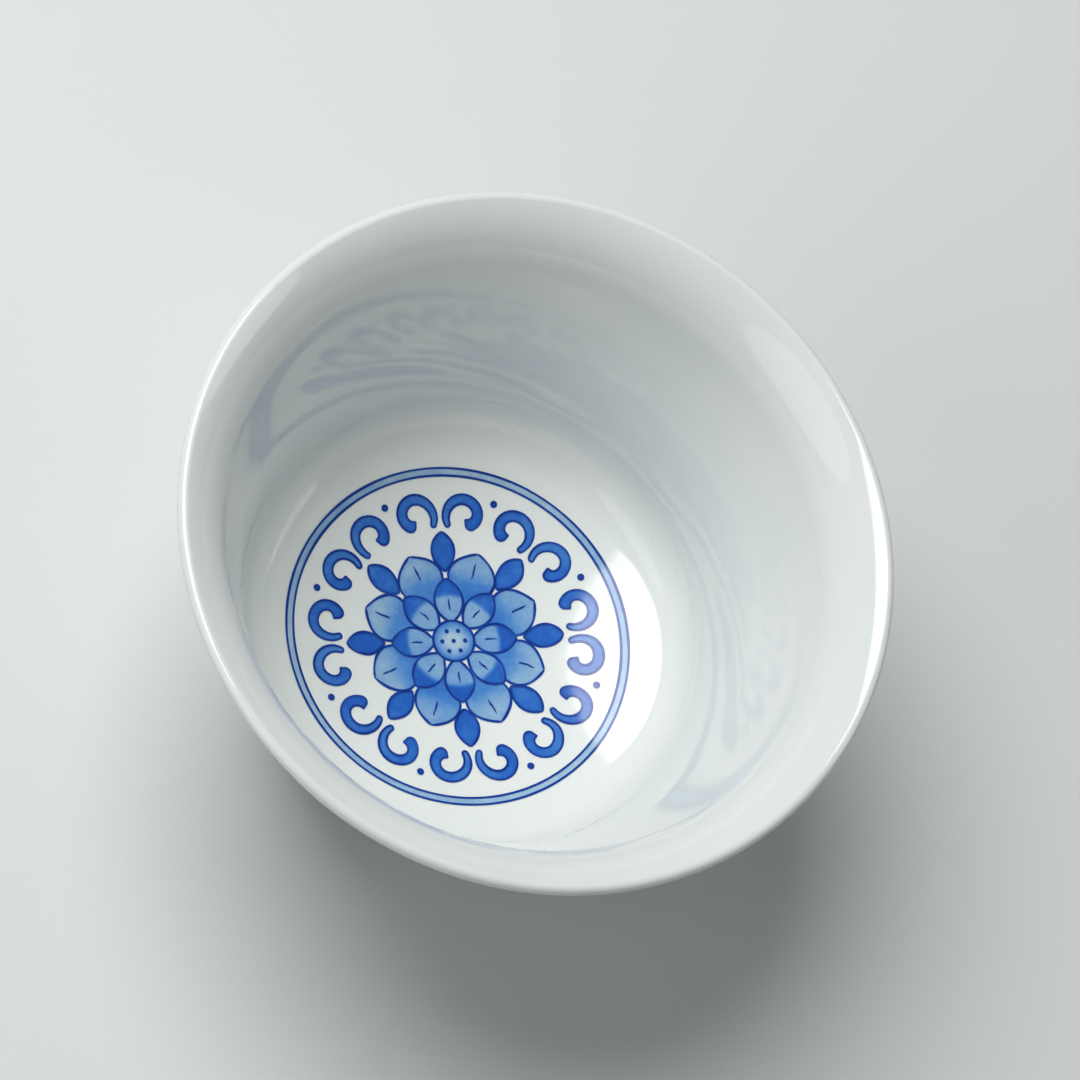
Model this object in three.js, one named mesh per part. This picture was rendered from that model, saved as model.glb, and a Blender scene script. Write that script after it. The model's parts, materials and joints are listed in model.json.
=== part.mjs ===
// A small porcelain teacup with a flared lip, a turned foot and a cobalt-blue rosette on its floor.
// Millimetres, +Z up. The origin is the centre of the plane that the foot stands on, and +Y runs along
// the middle of the rosette's first inner petal. The rosette is a plain pattern that repeats round the axis.
import * as THREE from "three";

// Driving dimensions of the cup.
const LIP_THICKNESS = 1.5;
const WALL_THICKNESS = 1.7; // at the foot of the wall; it thins to the lip
const GLAZE_DEPTH = 0.25; // from the glazed surface down to the clay
const LAYER_GAP = 0.05; // clearance between the clay and the back of the glaze

// The inside runs from the floor's centre to the lip as five arcs, each tangent to the next, which
// bring the mouth out to 80 mm across. Slopes are in degrees from level.
const FLOOR_CENTRE_HEIGHT = 8.2;
const FLOOR_ARC = { radius: 90, endSlope: 14, steps: 5 };
const CORNER_ARC = { radius: 6.6, endSlope: 80.5, steps: 5 };
const LOWER_WALL_ARC = { radius: 66, endSlope: 70.6, steps: 2 };
const UPPER_WALL_ARC = { radius: 500, endSlope: 69.3, steps: 1 };
const LIP_ARC = { radius: 11.8, endSlope: 28.3, steps: 4 };
const LIP_ROUND_STEPS = 4;
// The outside follows the inside down to the heel, which is one arc in to the foot.
const HEEL_ARC = { radius: 13.2, endSlope: 13, steps: 5 };

// The foot ring.
const FOOT_OUTER_RADIUS = 18.1;
const FOOT_INNER_RADIUS = 15.3;
const FOOT_TAPER = 0.15; // how far each side leans in towards the standing edge
const FOOT_FLAT_RADIUS = 16.8; // middle of the flat that the cup stands on
const FOOT_FLAT_WIDTH = 1;
const FOOT_EDGE_ROUND = 0.3;
const BARE_FOOT_HEIGHT = 1.2; // the outer glaze stops here
const HEEL_FILLET = 0.5; // drop of the outer glaze from the heel to the side of the foot

// The painted marks: thin films of cobalt that follow the floor's curve, in layers that don't touch.
const FILM_DEPTH = 0.04;
const FILM_LAYER_STEP = 0.07;
const RING_LINE_WIDTH = 0.3;
const RING_OUTER_RADIUS = 20; // middle of the outer line
const RING_INNER_RADIUS = 19.16; // middle of the inner line
const RING_CLEARANCE = 0.02; // between the lines and the wash that lies between them

// The rosette: how often its marks repeat, and each mark as it lies along its own radius.
const REPEATS = 8;
const POD_RADIUS = 2.4;
const INNER_PETAL = { root: 2.1, tip: 7.4, halfWidth: 1.7 };
const OUTER_PETAL = { root: 4.6, tip: 10.8, halfWidth: 2.7 };
const LEAF = { root: 8.2, tip: 12.8, halfWidth: 1.3 };
const PETAL_SHOULDERS = [0.3, 0.75]; // where a petal's sides are pulled out, as shares of its length
const SCROLL = {
  centreAlong: 14.6, // middle of the spiral, along the radius and off to its side
  centreAside: 2.9,
  startRadius: 2.3,
  endRadius: 1.35,
  startTurn: -115, // degrees from the radius
  endTurn: 150,
  startWidth: 0.6,
  fullWidth: 1.1,
  steps: 8,
};

const TURNS = 40; // facets round the cup
const CURVE_STEPS = 10; // straight pieces to each curve of a mark's outline

const radians = THREE.MathUtils.degToRad;

// Materials.
const clay = { color: 0xe9e6df, roughness: 0.85, metalness: 0 };
const glaze = { color: 0xe6ebe8, roughness: 0.08, metalness: 0 };
const darkBlue = { color: 0x2a5fb4, roughness: 0.15, metalness: 0 };
const midBlue = { color: 0x3a72c0, roughness: 0.15, metalness: 0 };
const paleBlue = { color: 0x84a6cf, roughness: 0.15, metalness: 0 };

const cup = new THREE.Group();

function addPart(name, geometry, look) {
  const mesh = new THREE.Mesh(geometry, new THREE.MeshStandardMaterial(look));
  mesh.name = name;
  cup.add(mesh);
}

// Continues a profile from its last point along an arc that ends at another slope.
// Each point keeps its radius r, its height z and its slope.
function followArc(profile, { radius, endSlope, steps }) {
  const start = profile.at(-1);
  const turn = Math.sign(endSlope - start.slope);
  const startAngle = radians(start.slope);
  for (let i = 1; i <= steps; i++) {
    const slope = start.slope + ((endSlope - start.slope) * i) / steps;
    const angle = radians(slope);
    profile.push({
      r: start.r + turn * radius * (Math.sin(angle) - Math.sin(startAngle)),
      z: start.z + turn * radius * (Math.cos(startAngle) - Math.cos(angle)),
      slope,
    });
  }
}

// The point at a distance below a profile point, square to the curve: for the inside that is into the clay.
function below(point, distance) {
  const angle = radians(point.slope);
  return {
    r: point.r + distance * Math.sin(angle),
    z: point.z - distance * Math.cos(angle),
    slope: point.slope,
  };
}

// The glazed inner surface, from the centre of the floor to the lip.
function innerSurface() {
  const profile = [{ r: 0, z: FLOOR_CENTRE_HEIGHT, slope: 0 }];
  const arcs = [FLOOR_ARC, CORNER_ARC, LOWER_WALL_ARC, UPPER_WALL_ARC, LIP_ARC];
  for (const arc of arcs) followArc(profile, arc);
  return profile;
}

// The round of the lip, a half circle from the inner surface over to the outer one.
// Its slopes keep turning one way through half a turn, so that below() always leads into the clay.
function lipRound(lipEnd) {
  const centre = below(lipEnd, LIP_THICKNESS / 2);
  const points = [];
  for (let i = 1; i < LIP_ROUND_STEPS; i++) {
    const slope = lipEnd.slope - (180 * i) / LIP_ROUND_STEPS;
    points.push(below({ ...centre, slope }, -LIP_THICKNESS / 2));
  }
  return points;
}

// The glazed outer surface, from the lip down to the top of the foot, with its slopes turned round.
function outerSurface(inner) {
  const wallStart = FLOOR_ARC.steps + CORNER_ARC.steps;
  const wallPoints = inner.slice(wallStart);
  const last = wallPoints.length - 1;
  const side = wallPoints.map((point, i) =>
    below(point, THREE.MathUtils.lerp(WALL_THICKNESS, LIP_THICKNESS, i / last)),
  );
  side.reverse();
  // Going down, the heel turns from the wall's slope to nearly level.
  const heelTop = side.at(-1);
  for (let i = 1; i <= HEEL_ARC.steps; i++) {
    const share = i / HEEL_ARC.steps;
    const slope = THREE.MathUtils.lerp(heelTop.slope, HEEL_ARC.endSlope, share);
    const arcCentre = below(heelTop, -HEEL_ARC.radius);
    side.push(below({ ...arcCentre, slope }, HEEL_ARC.radius));
  }
  return side.map((point) => ({ ...point, slope: point.slope - 180 }));
}

// A closed ring or a solid of revolution about Z from a list of points.
function turned(points) {
  const outline = points.map(({ r, z }) => new THREE.Vector2(r, z));
  const geometry = new THREE.LatheGeometry(outline, TURNS);
  geometry.rotateX(Math.PI / 2);
  return geometry;
}

// The outline of a glaze coat: a surface as its front, and the same surface set into the clay as its back.
function coat(front) {
  const back = front.map((point) => below(point, GLAZE_DEPTH - LAYER_GAP));
  return [...back, ...front.toReversed()];
}

const inner = innerSurface();
const lip = lipRound(inner.at(-1));
const outer = outerSurface(inner);
const lipTop = lip.length >> 1;

// The thrown and turned clay body of the bowl.
function bowlBody() {
  const surface = [...inner, ...lip, ...outer].map((point) => below(point, GLAZE_DEPTH));
  const undersideCentre = { r: 0, z: surface.at(-1).z };
  return turned([undersideCentre, ...surface.toReversed()]);
}

// The foot ring that the cup stands on, left bare at its edge.
function footRing(top) {
  const flatInner = FOOT_FLAT_RADIUS - FOOT_FLAT_WIDTH / 2;
  const flatOuter = FOOT_FLAT_RADIUS + FOOT_FLAT_WIDTH / 2;
  const outline = [
    { r: flatInner, z: 0 },
    { r: flatOuter, z: 0 },
    { r: flatOuter + FOOT_EDGE_ROUND, z: FOOT_EDGE_ROUND },
    { r: FOOT_OUTER_RADIUS - FOOT_TAPER, z: BARE_FOOT_HEIGHT },
    { r: FOOT_OUTER_RADIUS, z: top },
    { r: FOOT_INNER_RADIUS, z: top },
    { r: FOOT_INNER_RADIUS + FOOT_TAPER, z: BARE_FOOT_HEIGHT },
    { r: flatInner - FOOT_EDGE_ROUND, z: FOOT_EDGE_ROUND },
    { r: flatInner, z: 0 },
  ];
  return turned(outline);
}

// The inner glaze covers the floor, the wall and the inner half of the lip, where the outer glaze meets it.
function innerGlaze() {
  return turned(coat([...inner, ...lip.slice(0, lipTop + 1)]));
}

// The outer glaze covers the outer half of the lip, the outside and the side of the foot.
function outerGlaze(footTop) {
  const footSide = [footTop - HEEL_FILLET, BARE_FOOT_HEIGHT].map((z) => ({
    r: FOOT_OUTER_RADIUS + GLAZE_DEPTH,
    z,
    slope: -90,
  }));
  const outline = coat([...lip.slice(lipTop), ...outer, ...footSide]);
  return turned([...outline, outline[0]]);
}

// The glaze on the base, inside the foot ring.
function baseGlaze(underside) {
  const radius = FOOT_INNER_RADIUS - LAYER_GAP;
  const top = underside - LAYER_GAP;
  const bottom = underside - GLAZE_DEPTH;
  return turned([
    { r: 0, z: bottom },
    { r: radius, z: bottom },
    { r: radius, z: top },
    { r: 0, z: top },
  ]);
}

const underside = below(outer.at(-1), GLAZE_DEPTH).z;
const footTop = underside - LAYER_GAP;
addPart("bowl_body", bowlBody(), clay);
addPart("foot_ring", footRing(footTop), clay);
addPart("inner_glaze", innerGlaze(), glaze);
addPart("outer_glaze", outerGlaze(footTop), glaze);
addPart("base_glaze", baseGlaze(underside), glaze);

// Height of the glazed floor at a distance from the axis.
function floorHeight(r) {
  return FLOOR_CENTRE_HEIGHT + FLOOR_ARC.radius - Math.sqrt(FLOOR_ARC.radius ** 2 - r ** 2);
}

// One of the medallion's rings: a flat band round the axis that follows the floor.
function addRing(name, innerRadius, outerRadius, look) {
  const corner = (r, lift) => ({ r, z: floorHeight(r) + LAYER_GAP + lift });
  const outline = [
    corner(innerRadius, 0),
    corner(outerRadius, 0),
    corner(outerRadius, FILM_DEPTH),
    corner(innerRadius, FILM_DEPTH),
    corner(innerRadius, 0),
  ];
  addPart(name, turned(outline), look);
}

const halfLine = RING_LINE_WIDTH / 2;
addRing("ring_inner_line", RING_INNER_RADIUS - halfLine, RING_INNER_RADIUS + halfLine, darkBlue);
addRing(
  "ring_wash",
  RING_INNER_RADIUS + halfLine + RING_CLEARANCE,
  RING_OUTER_RADIUS - halfLine - RING_CLEARANCE,
  paleBlue,
);
addRing("ring_outer_line", RING_OUTER_RADIUS - halfLine, RING_OUTER_RADIUS + halfLine, darkBlue);

// A painted mark from an outline in plan, turned about the axis and laid on the floor's curve in one layer.
function addMark(name, shape, turn, layer, look) {
  const geometry = new THREE.ExtrudeGeometry(shape, {
    depth: FILM_DEPTH,
    bevelEnabled: false,
    curveSegments: CURVE_STEPS,
  });
  geometry.rotateZ(turn);
  const position = geometry.getAttribute("position");
  const lift = LAYER_GAP + layer * FILM_LAYER_STEP;
  for (let i = 0; i < position.count; i++) {
    const r = Math.hypot(position.getX(i), position.getY(i));
    position.setZ(i, position.getZ(i) + floorHeight(r) + lift);
  }
  geometry.computeVertexNormals();
  addPart(name, geometry, look);
}

// A pointed petal or leaf along +X, from its root to its tip, with one curve down each side.
function petalShape({ root, tip, halfWidth }) {
  const [near, far] = PETAL_SHOULDERS.map((share) => THREE.MathUtils.lerp(root, tip, share));
  const pull = (halfWidth * 4) / 3; // a curve pulled this far bulges by the half width
  const shape = new THREE.Shape();
  shape.moveTo(root, 0);
  shape.bezierCurveTo(near, -pull, far, -pull, tip, 0);
  shape.bezierCurveTo(far, pull, near, pull, root, 0);
  return shape;
}

// The middle of a scroll: a spiral that closes in, on one side (1 or -1) of its radius.
function scrollSpine(side) {
  const points = [];
  for (let i = 0; i <= SCROLL.steps; i++) {
    const share = i / SCROLL.steps;
    const angle = radians(THREE.MathUtils.lerp(SCROLL.startTurn, SCROLL.endTurn, share));
    const radius = THREE.MathUtils.lerp(SCROLL.startRadius, SCROLL.endRadius, share);
    const along = SCROLL.centreAlong + radius * Math.cos(angle);
    const aside = SCROLL.centreAside + radius * Math.sin(angle);
    points.push(new THREE.Vector2(along, side * aside));
  }
  return new THREE.SplineCurve(points);
}

// A brush stroke along a spine, thin where the brush lands and full at its round end.
const STROKE_STATIONS = 14;
const STROKE_END_STEPS = 4;
function strokeShape(spine, startWidth, fullWidth) {
  const left = [];
  const right = [];
  for (let i = 0; i <= STROKE_STATIONS; i++) {
    const share = i / STROKE_STATIONS;
    const swell = Math.sin((Math.min(share * 2, 1) * Math.PI) / 2);
    const half = THREE.MathUtils.lerp(startWidth, fullWidth, swell) / 2;
    const at = spine.getPointAt(share);
    const along = spine.getTangentAt(share);
    left.push(new THREE.Vector2(at.x - along.y * half, at.y + along.x * half));
    right.push(new THREE.Vector2(at.x + along.y * half, at.y - along.x * half));
  }
  const end = spine.getPointAt(1);
  const reach = left.at(-1).clone().sub(end);
  const cap = [];
  for (let i = 1; i < STROKE_END_STEPS; i++) {
    const turn = (-Math.PI * i) / STROKE_END_STEPS;
    cap.push(reach.clone().rotateAround(new THREE.Vector2(), turn).add(end));
  }
  return new THREE.Shape([...left, ...cap, ...right.reverse()]);
}

// The seed pod covers the roots of the inner petals, and those cover the roots of the outer ones.
const podShape = new THREE.Shape().absarc(0, 0, POD_RADIUS, 0, 2 * Math.PI);
addMark("seed_pod", podShape, 0, 3, paleBlue);

const innerPetal = petalShape(INNER_PETAL);
const outerPetal = petalShape(OUTER_PETAL);
const leaf = petalShape(LEAF);
const scrollLeft = strokeShape(scrollSpine(1), SCROLL.startWidth, SCROLL.fullWidth);
const scrollRight = strokeShape(scrollSpine(-1), SCROLL.startWidth, SCROLL.fullWidth);
const firstTurn = Math.PI / 2;
const step = (2 * Math.PI) / REPEATS;
for (let i = 0; i < REPEATS; i++) {
  const turn = firstTurn + i * step;
  const number = i + 1;
  addMark(`petal_inner_${number}`, innerPetal, turn, 2, midBlue);
  addMark(`petal_outer_${number}`, outerPetal, turn + step / 2, 1, paleBlue);
  addMark(`leaf_${number}`, leaf, turn, 0, darkBlue);
  addMark(`scroll_${number}_left`, scrollLeft, turn, 0, midBlue);
  addMark(`scroll_${number}_right`, scrollRight, turn, 0, midBlue);
}

export default cup;
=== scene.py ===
"""Looks for the teacup: glazed porcelain with a plain rosette painted in cobalt blue on its floor."""

import json
import math

import bpy
import numpy as np
from mathutils import Matrix, Vector
from mathutils.geometry import delaunay_2d_cdt


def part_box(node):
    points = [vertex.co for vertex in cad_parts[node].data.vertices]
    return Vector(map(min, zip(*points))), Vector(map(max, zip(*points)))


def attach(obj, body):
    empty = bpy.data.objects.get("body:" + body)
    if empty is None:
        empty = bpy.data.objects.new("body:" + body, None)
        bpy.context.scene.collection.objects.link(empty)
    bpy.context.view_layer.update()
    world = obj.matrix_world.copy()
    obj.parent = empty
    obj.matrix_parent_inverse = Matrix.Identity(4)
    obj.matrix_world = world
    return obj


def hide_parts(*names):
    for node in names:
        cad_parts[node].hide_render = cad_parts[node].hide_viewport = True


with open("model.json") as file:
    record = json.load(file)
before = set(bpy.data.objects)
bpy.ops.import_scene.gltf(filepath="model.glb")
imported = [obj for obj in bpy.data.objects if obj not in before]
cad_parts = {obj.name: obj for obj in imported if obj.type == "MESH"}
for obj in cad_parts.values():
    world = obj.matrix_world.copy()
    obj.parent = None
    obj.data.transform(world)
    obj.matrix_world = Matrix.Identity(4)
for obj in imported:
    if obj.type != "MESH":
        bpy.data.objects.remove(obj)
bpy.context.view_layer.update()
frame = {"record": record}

MM = 0.001
RNG = np.random.default_rng(11)  # every wavering line and tone is drawn from this, in one order

# ---------------------------------------------------------------------------------------------
# The cup's profile: the same tangent arcs as the frame, in millimetres, as (radius, end slope).
GLAZE_DEPTH = 0.25
COAT_GAP = 0.05
COAT_DEPTH = GLAZE_DEPTH - COAT_GAP
LIP_THICKNESS = 1.5
WALL_THICKNESS = 1.7
FLOOR_ARC = (90, 14)
CORNER_ARC = (6.6, 80.5)
WALL_ARCS = [(66, 70.6), (500, 69.3)]
LIP_ARC = (11.8, 28.3)
HEEL_ARC = (13.2, 13)
FLOOR_REACH = 24.0  # radius out to which the floor's arc is followed
SLOPE_STEP = 2.2  # degrees of turn from one profile point to the next
LONGEST_STEP = 1.2  # mm between profile points on the flatter arcs
TURNS = 240  # facets round the cup

FOOT_FILLET_REACH = 0.3  # least distance that the fillet spans, out from the side of the foot
FOOT_TAPER = 0.15
BARE_FOOT_HEIGHT = 1.2
FLOOR_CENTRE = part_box("inner_glaze")[0][2] / MM + COAT_DEPTH
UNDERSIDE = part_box("bowl_body")[0][2] / MM
FOOT_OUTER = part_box("foot_ring")[1][0] / MM
FOOT_INNER = 15.3
FOOT_FLAT_WIDTH = 1.0
FOOT_EDGE_OUTER = 0.65
GLAZE_BEAD = 0.12


def arc(points, radius, end_slope):
    """Adds points along an arc from the last one, which ends at another slope. Slopes are in degrees."""
    r, z, start = points[-1]
    turn = 1 if end_slope > start else -1
    swept = abs(end_slope - start)
    steps = max(2, round(swept / SLOPE_STEP), round(radius * math.radians(swept) / LONGEST_STEP))
    a = math.radians(start)
    for i in range(1, steps + 1):
        slope = start + (end_slope - start) * i / steps
        b = math.radians(slope)
        points.append(
            (
                r + turn * radius * (math.sin(b) - math.sin(a)),
                z + turn * radius * (math.cos(a) - math.cos(b)),
                slope,
            )
        )


def below(point, distance):
    """The point at a distance to the right of a profile point's direction, which is into the clay."""
    r, z, slope = point
    a = math.radians(slope)
    return (r + distance * math.sin(a), z - distance * math.cos(a), slope)


def cup_surface():
    """The glazed surface, from the centre of the floor over the lip and down the outside to the foot.

    Returns its inner and outer stretches, which meet on top of the lip.
    """
    inside = [(0, FLOOR_CENTRE, 0)]
    arc(inside, *FLOOR_ARC)
    arc(inside, *CORNER_ARC)
    wall_start = len(inside) - 1
    for wall_arc in (*WALL_ARCS, LIP_ARC):
        arc(inside, *wall_arc)
    wall = inside[wall_start:]

    lip = [inside[-1]]
    arc(lip, LIP_THICKNESS / 2, inside[-1][2] - 180)
    top = len(lip) // 2

    lengths = np.hypot(*np.diff(np.array(wall)[:, :2], axis=0).T)
    share = np.concatenate([[0], np.cumsum(lengths)]) / lengths.sum()
    thickness = WALL_THICKNESS + (LIP_THICKNESS - WALL_THICKNESS) * share
    outside = [below(p, t) for p, t in zip(wall, thickness)]
    outside = [(r, z, slope - 180) for r, z, slope in reversed(outside)]
    arc(outside, HEEL_ARC[0], HEEL_ARC[1] - 180)
    # The heel stops short of the foot, and a fillet leads from there exactly on to the foot's glazed side.
    side = FOOT_OUTER + GLAZE_DEPTH
    outside = [point for point in outside if point[0] >= side + FOOT_FILLET_REACH]
    heel_radius, _, heel_slope = outside[-1]
    arc(outside, (heel_radius - side) / (1 + math.sin(math.radians(heel_slope))), -90)
    outside.append((side - FOOT_TAPER, BARE_FOOT_HEIGHT, -92))
    return inside + lip[1 : top + 1], lip[top:-1] + outside


def floor_height(r):
    """Height of the glazed floor in millimetres at a distance from the axis, and its slope there."""
    radius = FLOOR_ARC[0]
    reach = np.minimum(r, FLOOR_REACH)
    root = np.sqrt(radius**2 - reach**2)
    return FLOOR_CENTRE + radius - root, reach / root


# ---------------------------------------------------------------------------------------------
# Mesh building.
def new_object(name, vertices, faces, material, loop_normals):
    """A piece from points in millimetres, with one normal for each corner of each face."""
    mesh = bpy.data.meshes.new(name)
    mesh.from_pydata((np.asarray(vertices) * MM).tolist(), [], faces)
    mesh.materials.append(material)
    mesh.polygons.foreach_set("use_smooth", [True] * len(mesh.polygons))
    mesh.update()
    mesh.normals_split_custom_set(loop_normals)
    piece = bpy.data.objects.new(name, mesh)
    bpy.context.scene.collection.objects.link(piece)
    return piece


def turned(name, runs, material):
    """A solid of revolution from runs of profile points (r, z, slope).

    The runs follow each other round the outline with the solid on their right, and meet at sharp corners.
    """
    angles = np.arange(TURNS) * 2 * math.pi / TURNS
    vertices, faces, normals, rings = [], [], [], {}

    def ring(r, z):
        key = (round(r, 5), round(z, 5))
        if key not in rings:
            start = len(vertices)
            count = 1 if r < 1e-6 else TURNS
            vertices.extend((r * math.cos(a), r * math.sin(a), z) for a in angles[:count])
            rings[key] = [start + i % count for i in range(TURNS)]
        return rings[key]

    for run in runs:
        for low, high in zip(run[:-1], run[1:]):
            ends = [(ring(*p[:2]), math.radians(p[2])) for p in (low, high)]
            for i in range(TURNS):
                j = (i + 1) % TURNS
                corners = [(*ends[0], i), (*ends[1], i), (*ends[1], j), (*ends[0], j)]
                corners = {at[k]: (slope, angles[k]) for at, slope, k in corners}
                faces.append(list(corners))
                normals += [
                    (-math.sin(s) * math.cos(t), -math.sin(s) * math.sin(t), math.cos(s))
                    for s, t in corners.values()
                ]
    return new_object(name, vertices, faces, material, normals)


def straight(a, b):
    """A straight run from one profile point to another."""
    slope = math.degrees(math.atan2(b[1] - a[1], b[0] - a[0]))
    return [(a[0], a[1], slope), (b[0], b[1], slope)]


def turned_back(points):
    """The same points from the other end."""
    return [(r, z, slope + 180) for r, z, slope in reversed(points)]


# ---------------------------------------------------------------------------------------------
# Materials. Every glazed surface shares one gloss and one faint unevenness of the glaze, in object
# coordinates, so that the painted marks and the porcelain round them shine as one surface.
GLAZE_ROUGHNESS = 0.07
GLAZE_IOR = 1.52
GLAZE_WAVE_SCALE = 150  # cycles to the metre
GLAZE_WAVE_HEIGHT = 0.00006  # metres
GLAZE_WAVE_STRENGTH = 0.35
CLAY_GRAIN_HEIGHT = 0.00005
CLAY_GRAIN_STRENGTH = 0.5


def glazed_material(name):
    """A material with the shared glaze. Returns it with its node tree, shader and coordinates."""
    material = bpy.data.materials.new(name)
    material.use_nodes = True
    tree = material.node_tree
    shader = tree.nodes["Principled BSDF"]
    shader.inputs["IOR"].default_value = GLAZE_IOR
    shader.inputs["Roughness"].default_value = GLAZE_ROUGHNESS
    place = tree.nodes.new("ShaderNodeTexCoord").outputs["Object"]
    wave = noise(tree, place, GLAZE_WAVE_SCALE, 2.0, 0.4)
    bump = tree.nodes.new("ShaderNodeBump")
    bump.inputs["Strength"].default_value = GLAZE_WAVE_STRENGTH
    bump.inputs["Distance"].default_value = GLAZE_WAVE_HEIGHT
    tree.links.new(wave, bump.inputs["Height"])
    tree.links.new(bump.outputs["Normal"], shader.inputs["Normal"])
    return material, tree, shader, place


def noise(tree, place, scale, detail, roughness=0.5):
    """The value of a noise of that scale, in cycles to the metre."""
    node = tree.nodes.new("ShaderNodeTexNoise")
    node.inputs["Scale"].default_value = scale
    node.inputs["Detail"].default_value = detail
    node.inputs["Roughness"].default_value = roughness
    tree.links.new(place, node.inputs["Vector"])
    return node.outputs["Fac"]


def ramp(tree, value, stops):
    """A colour ramp over value, from (position, colour) pairs."""
    node = tree.nodes.new("ShaderNodeValToRGB")
    elements = node.color_ramp.elements
    elements[0].position, elements[0].color = stops[0][0], (*stops[0][1], 1)
    elements[1].position, elements[1].color = stops[-1][0], (*stops[-1][1], 1)
    for position, colour in stops[1:-1]:
        elements.new(position).color = (*colour, 1)
    tree.links.new(value, node.inputs["Fac"])
    return node.outputs["Color"]


def blend(tree, kind, factor, a, b):
    """Mixes two colours, each a socket or a plain colour, by a blend type."""
    node = tree.nodes.new("ShaderNodeMix")
    node.data_type = "RGBA"
    node.blend_type = kind
    if isinstance(factor, (int, float)):
        node.inputs["Factor"].default_value = factor
    else:
        tree.links.new(factor, node.inputs["Factor"])
    for socket, value in (("A", a), ("B", b)):
        target = next(s for s in node.inputs if s.name == socket and s.type == "RGBA")
        if isinstance(value, tuple):
            target.default_value = (*value, 1)
        else:
            tree.links.new(value, target)
    return next(s for s in node.outputs if s.type == "RGBA")


def porcelain():
    """Clear glaze over white clay: near white, with a faint grey-green drift and a few iron specks."""
    material, tree, shader, place = glazed_material("glazed_porcelain")
    drift = ramp(
        tree,
        noise(tree, place, 60, 3),
        [(0.35, (0.735, 0.775, 0.75)), (0.65, (0.765, 0.795, 0.775))],
    )
    specks = ramp(tree, noise(tree, place, 1500, 1), [(0.79, (1, 1, 1)), (0.83, (0.72, 0.68, 0.62))])
    tree.links.new(blend(tree, "MULTIPLY", 0.6, drift, specks), shader.inputs["Base Color"])
    return material


def bare_clay():
    """The fired clay of the foot: matt, slightly warm, with fine grains."""
    material = bpy.data.materials.new("bare_clay")
    material.use_nodes = True
    tree = material.node_tree
    shader = tree.nodes["Principled BSDF"]
    place = tree.nodes.new("ShaderNodeTexCoord").outputs["Object"]
    grain = noise(tree, place, 2600, 4, 0.65)
    colour = ramp(
        tree,
        noise(tree, place, 350, 5, 0.6),
        [(0.3, (0.62, 0.56, 0.47)), (0.6, (0.74, 0.70, 0.62)), (0.8, (0.80, 0.77, 0.71))],
    )
    tree.links.new(colour, shader.inputs["Base Color"])
    rough = tree.nodes.new("ShaderNodeMapRange")
    rough.inputs["To Min"].default_value = 0.6
    rough.inputs["To Max"].default_value = 0.85
    tree.links.new(grain, rough.inputs["Value"])
    tree.links.new(rough.outputs["Result"], shader.inputs["Roughness"])
    bump = tree.nodes.new("ShaderNodeBump")
    bump.inputs["Strength"].default_value = CLAY_GRAIN_STRENGTH
    bump.inputs["Distance"].default_value = CLAY_GRAIN_HEIGHT
    tree.links.new(grain, bump.inputs["Height"])
    tree.links.new(bump.outputs["Normal"], shader.inputs["Normal"])
    return material


def cobalt(name, stops):
    """Cobalt under the glaze, coloured by stops.

    The mesh's tone, 0 watery to 1 full, is stirred by two noises.
    """
    material, tree, shader, place = glazed_material(name)
    tone = tree.nodes.new("ShaderNodeAttribute")
    tone.attribute_name = "tone"
    total = tone.outputs["Fac"]
    for scale, detail, amount in ((420, 3, 0.34), (2400, 2, 0.16)):
        stir = tree.nodes.new("ShaderNodeMath")
        stir.operation = "MULTIPLY_ADD"
        tree.links.new(noise(tree, place, scale, detail, 0.6), stir.inputs[0])
        stir.inputs[1].default_value = amount
        stir.inputs[2].default_value = -amount / 2
        join = tree.nodes.new("ShaderNodeMath")
        join.operation = "ADD"
        tree.links.new(total, join.inputs[0])
        tree.links.new(stir.outputs[0], join.inputs[1])
        total = join.outputs[0]
    tree.links.new(ramp(tree, total, stops), shader.inputs["Base Color"])
    return material


WASH_STOPS = [
    (0.0, (0.45, 0.58, 0.68)),
    (0.25, (0.24, 0.41, 0.62)),
    (0.5, (0.075, 0.24, 0.58)),
    (0.75, (0.020, 0.12, 0.50)),
    (1.0, (0.011, 0.06, 0.36)),
]
INK_STOPS = [
    (0.0, (0.10, 0.26, 0.58)),
    (0.4, (0.025, 0.11, 0.43)),
    (0.75, (0.010, 0.05, 0.31)),
    (1.0, (0.006, 0.028, 0.22)),
]

# ---------------------------------------------------------------------------------------------
# Painted marks, in millimetres in plan about the cup's axis.
WASH_LIFT = 0.02
LAYER_LIFT = 0.012
INK_LIFT = 0.09
FILM = 0.02
LINE_WIDTH = 0.31
# Across a line: place and strength.
LINE_COLUMNS = [(-1, 0.40), (-0.66, 0.76), (0, 0.88), (0.66, 0.76), (1, 0.40)]
EDGE_STEP = 0.12  # mm between points of an outline
GRID_STEP = 0.22  # mm between points inside it
DOT_POINTS = 20
DOT_RING = 0.52  # radius of the middle of the line that fills a dot, as a share of the dot's


def resampled(path, step=EDGE_STEP):
    lengths = np.hypot(*np.diff(path, axis=0).T)
    at = np.concatenate([[0], np.cumsum(lengths)])
    count = max(2, round(at[-1] / step) + 1)
    s = np.linspace(0, at[-1], count)
    return np.stack([np.interp(s, at, path[:, 0]), np.interp(s, at, path[:, 1])], axis=1)


def wobble(path, amount):
    """The path with the slow unevenness of a hand that draws it. Its ends stay where they are."""
    n = len(path)
    s = np.linspace(0, 1, n)
    shift = np.zeros((n, 2))
    for k in range(1, 5):
        shift += RNG.normal(size=2) * np.sin(math.pi * k * s)[:, None] / k
    return path + amount * shift


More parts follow.
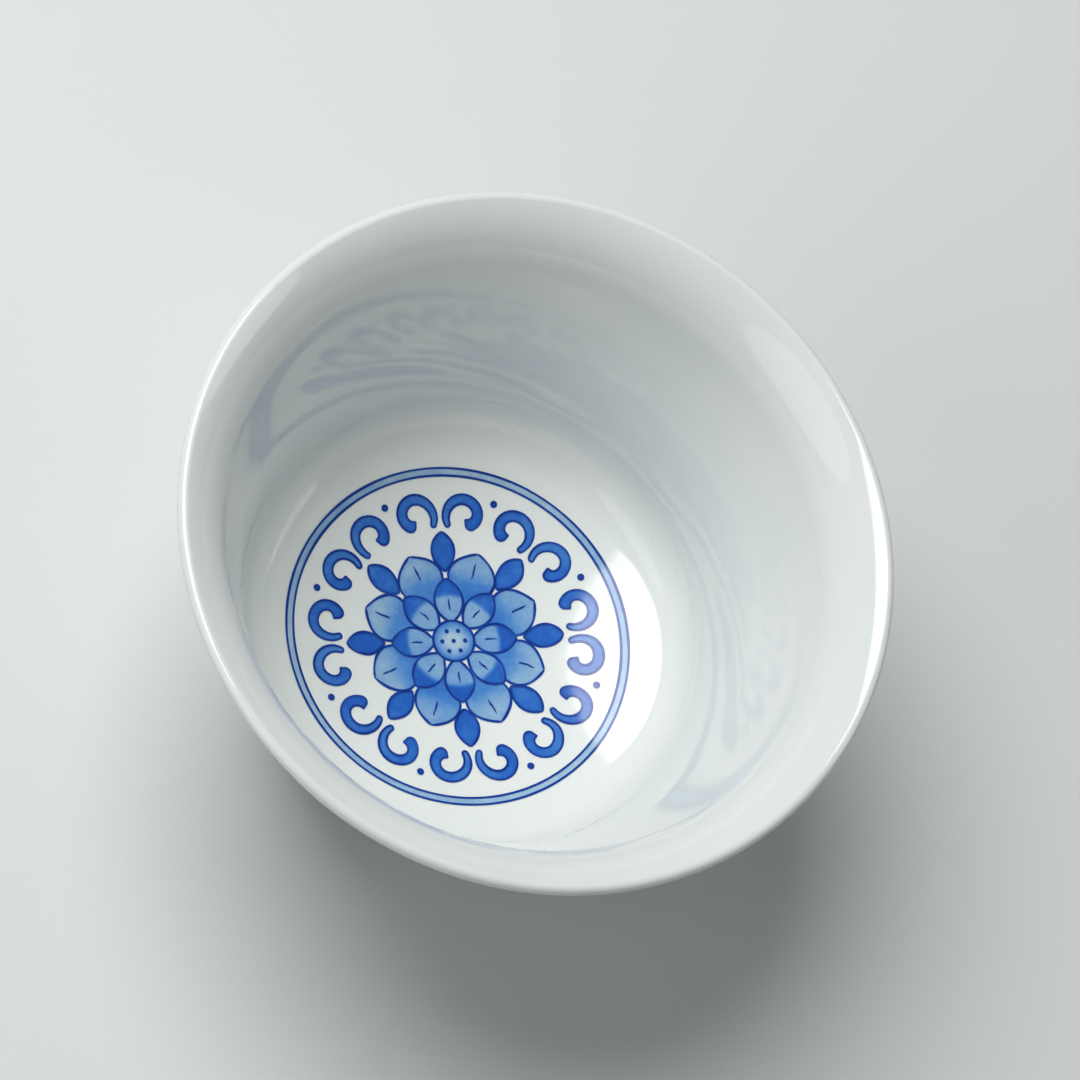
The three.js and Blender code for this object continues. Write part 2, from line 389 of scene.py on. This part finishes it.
def lift(points, height):
    """Plan points laid on the floor, raised by height, with the floor's normals there."""
    r = np.hypot(points[:, 0], points[:, 1])
    z, slope = floor_height(r)
    safe = np.maximum(r, 1e-9)
    normals = np.stack([-slope * points[:, 0] / safe, -slope * points[:, 1] / safe, np.ones(len(r))], axis=1)
    normals /= np.linalg.norm(normals, axis=1)[:, None]
    return np.column_stack([points, z + height]), normals


def film(name, points, triangles, tone, height, material):
    """A closed thin film on the floor from triangles in plan. It shades as the floor does."""
    top, normals = lift(points, height)
    bottom, _ = lift(points, height - FILM)
    n = len(points)
    edges = {}
    for tri in triangles:
        for a, b in zip(tri, (*tri[1:], tri[0])):
            if (b, a) in edges:
                del edges[(b, a)]
            else:
                edges[(a, b)] = True
    faces = [list(t) for t in triangles]
    faces += [[i + n for i in reversed(t)] for t in triangles]
    faces += [[b, a, a + n, b + n] for a, b in edges]
    loop_normals = []
    for face in faces:
        for i in face:
            loop_normals.append(normals[i] if i < n else -normals[i - n])
    side_start = sum(len(f) for f in faces[: 2 * len(triangles)])
    flat = [i % n for f in faces[2 * len(triangles) :] for i in f]
    loop_normals[side_start:] = [normals[i] for i in flat]
    piece = new_object(name, np.concatenate([top, bottom]), faces, material, loop_normals)
    layer = piece.data.attributes.new("tone", "FLOAT", "POINT")
    layer.data.foreach_set("value", np.concatenate([tone, tone]).astype(np.float32))
    return piece


def inside_polygon(points, polygon):
    x, y = points[:, 0], points[:, 1]
    hit = np.zeros(len(points), bool)
    for (x0, y0), (x1, y1) in zip(polygon, np.roll(polygon, -1, axis=0)):
        crosses = (y0 > y) != (y1 > y)
        with np.errstate(divide="ignore", invalid="ignore"):
            at = x0 + (y - y0) * (x1 - x0) / (y1 - y0)
        hit ^= crosses & (x < at)
    return hit


def path_distance(points, path):
    """Distance of each point to the path."""
    best = np.full(len(points), 1e9)
    for a, b in zip(path[:-1], path[1:]):
        d = b - a
        t = np.clip(((points - a) @ d) / max(d @ d, 1e-12), 0, 1)
        best = np.minimum(best, np.hypot(*(points - a - t[:, None] * d).T))
    return best


def mesh_outline(polygon):
    """Triangles that fill a polygon, with points inside it every GRID_STEP."""
    low, high = polygon.min(0), polygon.max(0)
    rows = np.arange(low[1], high[1], GRID_STEP * math.sqrt(3) / 2)
    grid = [
        (x + (k % 2) * GRID_STEP / 2, y)
        for k, y in enumerate(rows)
        for x in np.arange(low[0], high[0], GRID_STEP)
    ]
    grid = np.array(grid)
    grid = grid[inside_polygon(grid, polygon)]
    closed = np.concatenate([polygon, polygon[:1]])
    grid = grid[path_distance(grid, closed) > 0.5 * GRID_STEP]
    points = [Vector(p) for p in np.concatenate([polygon, grid])]
    n = len(polygon)
    sides = [(i, (i + 1) % n) for i in range(n)]
    made, _, faces, *_ = delaunay_2d_cdt(points, sides, [], 1, 1e-5)
    made = np.array([tuple(p) for p in made])
    triangles = []
    for face in faces:
        a, b, c = (made[i] for i in face)
        area = (b[0] - a[0]) * (c[1] - a[1]) - (b[1] - a[1]) * (c[0] - a[0])
        triangles.append(tuple(face) if area > 0 else tuple(reversed(face)))
    return made, triangles


def wash(name, polygon, tone_at, layer, inked, node):
    """A wash of cobalt that fills an outline and stands for a node. Pigment pools along its inked edges."""
    points, triangles = mesh_outline(polygon)
    edge = np.min([path_distance(points, path) for path in inked], axis=0)
    tone = np.clip(tone_at(points) + 0.10 * np.exp(-edge / 0.25), 0, 1)
    piece = film(name, points, triangles, tone, WASH_LIFT + layer * LAYER_LIFT, WASH)
    add(piece, SLOTS[node], node)


class Ink:
    """Brush lines collected into one piece."""

    def __init__(self):
        self.points, self.triangles, self.tone = [], [], []

    def line(self, path, width=LINE_WIDTH, start=0.5, end=0.35, closed=False, pressure=0.16):
        """A line along a path, thinner at its ends, whose width and strength drift as a brush's do.

        start and end are the shares of its width that are left at its ends.
        """
        n = len(path)
        if closed:
            along = np.roll(path, -1, axis=0) - np.roll(path, 1, axis=0)
        else:
            along = np.gradient(path, axis=0)
        along /= np.maximum(np.hypot(*along.T), 1e-9)[:, None]
        square = np.stack([-along[:, 1], along[:, 0]], axis=1)
        s = np.linspace(0, 1, n, endpoint=not closed)
        drift = np.zeros(n)
        waves = 9 if closed else 4
        for k in range(1, waves + 1):
            a, b = RNG.normal(size=2)
            turn = (2 if closed else 1) * math.pi * k * s
            drift += (a * np.cos(turn) + b * np.sin(turn)) / waves
        half = width / 2 * (1 + pressure * drift)
        if not closed:
            reach = np.minimum(s, 1 - s) * n * EDGE_STEP
            taper = np.sin(np.clip(reach / 0.7, 0, 1) * math.pi / 2)
            left = np.where(s < 0.5, start, end)
            half *= left + (1 - left) * taper
        base = sum(len(p) for p in self.points)
        for column, strength in LINE_COLUMNS:
            self.points.append(path + square * (half * column)[:, None])
            self.tone.append(np.clip(strength + 0.10 * drift, 0, 1))
        count = n if closed else n - 1
        for c in range(len(LINE_COLUMNS) - 1):
            for i in range(count):
                j = (i + 1) % n
                a, b = base + c * n + i, base + c * n + j
                d, e = a + n, b + n
                self.triangles += [(a, b, e), (a, e, d)]

    def dot(self, centre, radius):
        """A round dot of ink."""
        turns = np.linspace(0, 2 * math.pi, DOT_POINTS, endpoint=False)
        ring = np.array(centre) + DOT_RING * radius * np.stack([np.cos(turns), np.sin(turns)], axis=1)
        self.line(ring, width=2 * (1 - DOT_RING) * radius, closed=True, pressure=0)

    def piece(self, name, *nodes):
        """Makes the piece. It stands for the nodes, if any are named."""
        points = np.concatenate(self.points)
        made = film(name, points, self.triangles, np.concatenate(self.tone), INK_LIFT, INK)
        add(made, "cobalt_dark", *nodes)


PORCELAIN = porcelain()
CLAY = bare_clay()
WASH = cobalt("cobalt_wash", WASH_STOPS)
INK = cobalt("cobalt_ink", INK_STOPS)


# ---------------------------------------------------------------------------------------------
# The cup: clay, foot and three areas of glaze.
def set_back(points, distance):
    return [below(p, distance) for p in points]


def add(piece, slot, *nodes):
    """The piece rides on the cup and stands for these nodes of the frame, which are hidden. The slot is not
    used.
    """
    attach(piece, "root")
    if nodes:
        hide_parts(*nodes)
    return piece


def build_cup():
    inner, outer = cup_surface()
    add(turned("glaze_inside", coat(inner), PORCELAIN), "glaze", "inner_glaze")

    bead = [outer[-1]]
    arc(bead, GLAZE_BEAD, -180)
    back = set_back(outer, COAT_DEPTH)
    runs = [outer + bead[1:], straight(bead[-1], back[-1]), turned_back(back), straight(back[0], outer[0])]
    add(turned("glaze_outside", runs, PORCELAIN), "glaze", "outer_glaze")

    clay = set_back(inner + outer, GLAZE_DEPTH)
    heel = next(i for i, p in enumerate(clay) if i > len(inner) and p[1] <= UNDERSIDE + 0.05)
    clay = clay[:heel] + [(clay[heel][0], UNDERSIDE, clay[heel][2])]
    add(turned("clay_bowl", [clay, straight(clay[-1], (0, UNDERSIDE))], CLAY), "clay", "bowl_body")

    edge = FOOT_INNER - COAT_GAP
    low, high = UNDERSIDE - GLAZE_DEPTH, UNDERSIDE - COAT_GAP
    runs = [
        straight((0, high), (edge, high)),
        straight((edge, high), (edge, low)),
        straight((edge, low), (0, low)),
    ]
    add(turned("glaze_base", runs, PORCELAIN), "glaze", "base_glaze")

    foot_edge = [(FOOT_OUTER - FOOT_TAPER, FOOT_EDGE_OUTER, -90)]
    arc(foot_edge, FOOT_EDGE_OUTER, -180)
    flat_end = (foot_edge[-1][0] - FOOT_FLAT_WIDTH, 0, -180)
    foot_edge.append(flat_end)
    arc(foot_edge, flat_end[0] - FOOT_INNER - FOOT_TAPER, -270)
    top = UNDERSIDE - COAT_GAP
    runs = [
        straight((FOOT_OUTER, top), foot_edge[0]),
        foot_edge,
        straight(foot_edge[-1], (FOOT_INNER, top)),
        straight((FOOT_INNER, top), (FOOT_OUTER, top)),
    ]
    add(turned("clay_foot", runs, CLAY), "clay", "foot_ring")


def coat(front):
    """The runs of a coat of glaze that starts on the axis."""
    back = set_back(front, COAT_DEPTH)
    return [front, straight(front[-1], back[-1]), turned_back(back)]


build_cup()

# ---------------------------------------------------------------------------------------------
# The medallion: a plain rosette, in millimetres. Its marks repeat round the cup's axis. Each is given as
# it lies along +x, its own radius, and is then turned to its place, as in the frame.
REPEATS = 8
FIRST_TURN = math.pi / 2
POD_RADIUS = 2.4
PETAL_SHOULDERS = (0.3, 0.75)  # where a petal's sides are pulled out, as shares of its length
# Petals and leaves: where they start and end, how far round they stand in their repeat, the tones at
# their root and tip, and the share of their length where one turns to the other and how gradually.
PETALS = {
    "petal_inner": dict(
        root=2.1, tip=7.4, half_width=1.7, offset=0, layer=2, tones=(0.30, 0.76), turn=(0.62, 0.02)
    ),
    "petal_outer": dict(
        root=4.6, tip=10.8, half_width=2.7, offset=0.5, layer=1, tones=(0.60, 0.24), turn=(0.5, 0.10)
    ),
    "leaf": dict(
        root=8.2, tip=12.8, half_width=1.3, offset=0, layer=0, tones=(0.74, 0.66), turn=(0.7, 0.2)
    ),
}
VEINS = {"petal_inner": (0.30, 0.56), "petal_outer": (0.52, 0.82)}  # shares of the petal's length
SCROLL = dict(centre=(14.6, 2.9), radii=(2.3, 1.35), turns=(-115, 150), widths=(0.6, 1.1), layer=0)
SCROLL_TONES = (0.56, 0.74)  # where the brush lands, and at the head
POD_LAYER = 3
POD_TONES = (0.05, 0.58)  # at the middle and at the rim
SEEDS = 6
SEED_CIRCLE = 1.35
SEED_RADIUS = 0.26
FILLER_CIRCLE = 16.9  # radius of the circle of dots between the scrolls
FILLER_RADIUS = 0.42
STRAY = 0.045  # how far a hand-drawn line strays
TONE_DRIFT = 0.03  # how much the tone differs from one mark to the next


def turned_plan(points, angle):
    """Points in plan, turned about the axis."""
    c, s = math.cos(angle), math.sin(angle)
    return points @ np.array([(c, s), (-s, c)])


def petal_edge(petal, side):
    """One side of a petal from its root to its tip: a cubic curve, as the painter's hand drew it."""
    near, far = (petal["root"] + (petal["tip"] - petal["root"]) * share for share in PETAL_SHOULDERS)
    pull = side * petal["half_width"] * 4 / 3
    a, b, c, d = np.array([(petal["root"], 0), (near, pull), (far, pull), (petal["tip"], 0)])
    t = np.linspace(0, 1, 60)[:, None]
    curve = (1 - t) ** 3 * a + 3 * (1 - t) ** 2 * t * b + 3 * (1 - t) * t**2 * c + t**3 * d
    return wobble(resampled(curve), STRAY)


def joined(*paths):
    """One closed outline, anticlockwise, from paths that each start where the last one ended."""
    points = np.concatenate(paths)
    points = points[np.hypot(*(points - np.roll(points, 1, axis=0)).T) > 0.02]
    x, y = points.T
    area = np.sum(x * np.roll(y, -1) - np.roll(x, -1) * y)
    return points if area > 0 else points[::-1]


def uncovered(path, covers):
    """The longest stretch of a path that lies outside all the outlines painted over it."""
    hidden = np.any([inside_polygon(path, cover) for cover in covers], axis=0)
    runs = np.split(np.arange(len(path)), np.flatnonzero(np.diff(hidden)) + 1)
    return path[max((run for run in runs if not hidden[run[0]]), key=len)]


def paint_petals(kind, covers, ink):
    """A whorl of petals or leaves. Their lines stop at the outlines that cover them. Returns theirs."""
    petal = PETALS[kind]
    root, length = petal["root"], petal["tip"] - petal["root"]
    outlines = []
    for i in range(REPEATS):
        angle = FIRST_TURN + (i + petal["offset"]) * 2 * math.pi / REPEATS
        edges = [turned_plan(petal_edge(petal, side), angle) for side in (-1, 1)]
        polygon = joined(edges[0], edges[1][::-1])
        drift = RNG.normal() * TONE_DRIFT

        def tone(points):
            share = (np.hypot(*points.T) - root) / length
            low, high = petal["tones"]
            place, softness = petal["turn"]
            reach = np.clip((place - share) / softness, -30, 30)
            return low + drift + (high - low) / (1 + np.exp(reach))

        name = f"{kind}_{i + 1}"
        wash(f"{name}_wash", polygon, tone, petal["layer"], edges, name)
        for edge in edges:
            ink.line(uncovered(edge, covers), start=0.8, end=0.5)
        if kind in VEINS:
            ends = [(root + length * share, 0) for share in VEINS[kind]]
            vein = wobble(resampled(np.array(ends)), STRAY)
            ink.line(turned_plan(vein, angle), width=0.22, start=0.8, end=0.2)
        outlines.append(polygon)
    return outlines


def scroll_spine(side):
    """The middle of a scroll: a spiral that closes in, on one side (1 or -1) of its radius."""
    share = np.linspace(0, 1, 120)
    turn = np.radians(np.interp(share, (0, 1), SCROLL["turns"]))
    radius = np.interp(share, (0, 1), SCROLL["radii"])
    along = SCROLL["centre"][0] + radius * np.cos(turn)
    aside = SCROLL["centre"][1] + radius * np.sin(turn)
    return wobble(resampled(np.stack([along, side * aside], axis=1)), STRAY)


def stroke_outline(spine, widths):
    """The outline of a brush stroke, up its outer edge, round its head and back to where it lands.

    The stroke swells from its round landing. Its head is round outside and ends in a small beak inside.
    """
    along = np.gradient(spine, axis=0)
    along /= np.hypot(*along.T)[:, None]
    square = np.stack([-along[:, 1], along[:, 0]], axis=1)
    share = np.linspace(0, 1, len(spine))
    swell = np.sin(np.minimum(share * 1.8, 1) * math.pi / 2)
    half = (widths[0] + (widths[1] - widths[0]) * swell) / 2
    half *= 1 + 0.12 * np.clip((share - 0.75) / 0.25, 0, 1) ** 2
    bend = along[-8][0] * along[-1][1] - along[-8][1] * along[-1][0]
    inward = square * math.copysign(1, bend)
    outer, inner = spine - inward * half[:, None], spine + inward * half[:, None]
    turn = np.radians(np.linspace(15, 125, 9))
    head = [spine[-1] + half[-1] * (along[-1] * math.sin(t) - inward[-1] * math.cos(t)) for t in turn]
    beak = inner[-1] + along[-1] * half[-1] * 0.6 + inward[-1] * half[-1] * 0.25
    turn = np.linspace(0, math.pi, 9)[1:]
    landing = [spine[0] + half[0] * (inward[0] * math.cos(t) - along[0] * math.sin(t)) for t in turn]
    return np.concatenate([outer, head, [beak], inner[::-1], landing])


def paint_scrolls(ink):
    for i in range(REPEATS):
        angle = FIRST_TURN + i * 2 * math.pi / REPEATS
        for suffix, side in (("left", 1), ("right", -1)):
            spine = turned_plan(scroll_spine(side), angle)
            edge = resampled(stroke_outline(spine, SCROLL["widths"]))
            drift = RNG.normal() * TONE_DRIFT

            def tone(points):
                nearest = np.argmin(np.hypot(*(points[:, None] - spine[None]).transpose(2, 0, 1)), axis=1)
                return np.interp(nearest / (len(spine) - 1), (0, 1), SCROLL_TONES) + drift

            name = f"scroll_{i + 1}_{suffix}"
            wash(f"{name}_wash", joined(edge), tone, SCROLL["layer"], [edge], name)
            ink.line(edge, width=0.26, start=0.9, end=0.9)
        between = angle + math.pi / REPEATS
        ink.dot((FILLER_CIRCLE * math.cos(between), FILLER_CIRCLE * math.sin(between)), FILLER_RADIUS)


def paint_pod(ink):
    """The seed pod, with a seed in its middle and a circle of them round it. Returns its outline."""
    count = round(2 * math.pi * POD_RADIUS / EDGE_STEP)
    rim = circle(POD_RADIUS, np.linspace(0, 2 * math.pi, count, endpoint=False))

    def tone(points):
        return np.interp(np.hypot(*points.T) / POD_RADIUS, (0.3, 1), POD_TONES)

    wash("seed_pod_wash", rim, tone, POD_LAYER, [rim], "seed_pod")
    ink.line(rim, closed=True)
    ink.dot((0, 0), SEED_RADIUS)
    for i in range(SEEDS):
        angle = i * 2 * math.pi / SEEDS
        ink.dot((SEED_CIRCLE * math.cos(angle), SEED_CIRCLE * math.sin(angle)), SEED_RADIUS)
    return rim


def paint_rosette():
    petal_ink, leaf_ink, scroll_ink = Ink(), Ink(), Ink()
    pod = paint_pod(petal_ink)
    inner = paint_petals("petal_inner", [pod], petal_ink)
    outer = paint_petals("petal_outer", inner, petal_ink)
    paint_petals("leaf", outer + inner, leaf_ink)
    paint_scrolls(scroll_ink)
    petal_ink.piece("petal_ink")
    leaf_ink.piece("leaf_ink")
    scroll_ink.piece("scroll_ink")


def circle(radius, turns):
    """A banded circle: round, apart from the slow stray of a brush held to a turning cup."""
    stray = 0.015 * (np.sin(2 * turns + 0.7) + 0.6 * np.sin(3 * turns + 2.1) + 0.4 * np.sin(5 * turns))
    return (radius + stray)[:, None] * np.stack([np.cos(turns), np.sin(turns)], axis=1)


def paint_rings():
    turns = np.arange(RING_POINTS) * 2 * math.pi / RING_POINTS
    for name, radius in (("ring_outer_line", RING_OUTER), ("ring_inner_line", RING_INNER)):
        ink = Ink()
        ink.line(circle(radius, turns), width=RING_LINE_WIDTH, closed=True, pressure=0.28)
        ink.piece(f"{name}_ink", name)
    columns = np.linspace(RING_INNER, RING_OUTER, RING_COLUMNS)
    points = np.concatenate([circle(radius, turns) for radius in columns])
    triangles = []
    for column in range(RING_COLUMNS - 1):
        for i in range(RING_POINTS):
            a, b = column * RING_POINTS + i, column * RING_POINTS + (i + 1) % RING_POINTS
            triangles += [(a, a + RING_POINTS, b + RING_POINTS), (a, b + RING_POINTS, b)]
    tone = 0.17 + 0.06 * np.sin(3 * np.tile(turns, RING_COLUMNS) + 1)
    add(film("ring_band_wash", points, triangles, tone, WASH_LIFT, WASH), "cobalt_pale", "ring_wash")


def band_radius(node):
    """The radius of the middle of a ring line of the frame, in millimetres."""
    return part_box(node)[1][0] / MM - FRAME_LINE_WIDTH / 2


SLOTS = {part["node"]: part["material_slot"] for part in frame["record"]["subparts"]}
FRAME_LINE_WIDTH = 0.3  # of the ring lines of the frame
RING_LINE_WIDTH = 0.27
RING_OUTER = band_radius("ring_outer_line")
RING_INNER = band_radius("ring_inner_line")
RING_POINTS = 520
RING_COLUMNS = 5
paint_rosette()
paint_rings()

# ---------------------------------------------------------------------------------------------
# Floor, light and camera, in metres.
FLOOR_HALF = 3.0
FLOOR_COLOUR = (0.72, 0.73, 0.73, 1)
CUP_MIDDLE = Vector((0, 0, 0.022))
# Each light: azimuth and elevation in degrees, distance, size, power in watts.
LIGHTS = {
    "softbox": (125, 60, 0.75, 0.58, 5.3),
    "fill": (-8, 30, 1.2, 0.5, 1.0),
    "left_fill": (195, 32, 1.2, 0.9, 2.4),
}
WORLD_COLOUR = (0.80, 0.86, 0.88, 1)
WORLD_STRENGTH = 0.14
CAMERA_PLACE = Vector((-0.1809, -0.1791, 0.5626))
CAMERA_FORWARD = Vector((0.31248, 0.30912, -0.89822))
CAMERA_UP = Vector((0.03467, 0.94123, 0.33598))
CAMERA_LENS = 180  # mm, on a sensor 36 mm wide


def build_stage():
    mesh = bpy.data.meshes.new("floor")
    corners = [(x * FLOOR_HALF, y * FLOOR_HALF, 0) for x, y in ((-1, -1), (1, -1), (1, 1), (-1, 1))]
    mesh.from_pydata(corners, [], [(0, 1, 2, 3)])
    floor = bpy.data.objects.new("floor", mesh)
    bpy.context.scene.collection.objects.link(floor)
    material = bpy.data.materials.new("floor")
    material.use_nodes = True
    shader = material.node_tree.nodes["Principled BSDF"]
    shader.inputs["Base Color"].default_value = FLOOR_COLOUR
    shader.inputs["Roughness"].default_value = 0.6
    mesh.materials.append(material)


def aim(piece, at, target):
    """Puts a light at a point so that it faces another point."""
    piece.location = at
    piece.rotation_euler = (Vector(target) - Vector(at)).to_track_quat("-Z", "Y").to_euler()


def add_light(name, azimuth, elevation, distance, size, power):
    """An area light seen from the cup in that direction, in degrees, which faces the cup."""
    light = bpy.data.lights.new(name, "AREA")
    light.shape = "DISK"
    light.size = size
    light.energy = power
    piece = bpy.data.objects.new(name, light)
    bpy.context.scene.collection.objects.link(piece)
    a, e = math.radians(azimuth), math.radians(elevation)
    at = Vector((math.cos(a) * math.cos(e), math.sin(a) * math.cos(e), math.sin(e))) * distance
    aim(piece, at + CUP_MIDDLE, CUP_MIDDLE)
    return piece


def build_lights():
    for name, values in LIGHTS.items():
        add_light(name, *values)
    world = bpy.data.worlds.new("studio")
    bpy.context.scene.world = world
    world.use_nodes = True
    background = world.node_tree.nodes["Background"]
    background.inputs["Color"].default_value = WORLD_COLOUR
    background.inputs["Strength"].default_value = WORLD_STRENGTH


def build_camera():
    """A long lens that looks down into the cup, turned so that +Y stands nearly upright."""
    data = bpy.data.cameras.new("camera")
    data.lens = CAMERA_LENS
    data.sensor_width = 36
    camera = bpy.data.objects.new("camera", data)
    bpy.context.scene.collection.objects.link(camera)
    forward = CAMERA_FORWARD.normalized()
    right = forward.cross(CAMERA_UP).normalized()
    up = right.cross(forward)
    rotation = Matrix((right, up, -forward)).transposed().to_4x4()
    camera.matrix_world = Matrix.Translation(CAMERA_PLACE) @ rotation
    bpy.context.scene.camera = camera


build_stage()
build_lights()
build_camera()
bpy.context.scene.view_settings.view_transform = "Standard"  # keeps the cobalt as saturated as it is mixed

bpy.context.view_layer.update()
